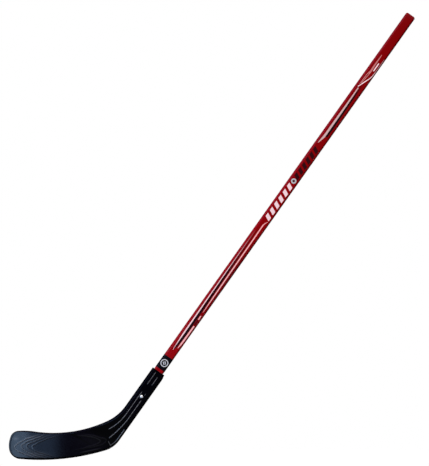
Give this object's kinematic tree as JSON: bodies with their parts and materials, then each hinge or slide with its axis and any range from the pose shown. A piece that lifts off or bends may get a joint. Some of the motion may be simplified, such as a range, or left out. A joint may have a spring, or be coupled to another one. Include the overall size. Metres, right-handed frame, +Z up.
{
  "type": "ice hockey stick",
  "caption": "Hockey stick with a laminated wood shaft in a glossy printed film, and a ribbed moulded blade whose hosel is glued and screwed over the shaft.",
  "frame": {"origin": "centre of the bounding box in X and Y, on the floor under the sole of the blade", "axes": "playing position: +Z up, +X from the toe of the blade towards the butt of the shaft, +Y across the stick towards the side that the blade curves to; the shaft rises at 54.67 degrees in the XZ plane"},
  "size_m": [1.0693, 0.0496, 1.1781],
  "materials": {
    "birch": "sanded birch veneer",
    "poplar": "sanded poplar veneer",
    "red_film": "glossy printed film",
    "red_lacquer": "glossy dipped lacquer",
    "black_label": "semi-gloss label",
    "hot_melt": "set hot-melt glue",
    "black_abs": "semi-gloss moulded ABS",
    "zinc_screw": "bright zinc-plated steel"
  },
  "bodies": {
    "root": {"shaft_ply_1": "birch", "shaft_ply_2": "poplar", "shaft_ply_3": "birch", "shaft_ply_4": "poplar", "shaft_ply_5": "birch", "shaft_ply_6": "poplar", "shaft_ply_7": "birch", "shaft_ply_8": "poplar", "shaft_ply_9": "birch", "printed_film": "red_film", "butt_seal": "red_lacquer", "badge_band": "black_label", "glue_sleeve": "hot_melt", "blade": "black_abs", "blade_screw": "zinc_screw"}
  },
  "joints": []
}
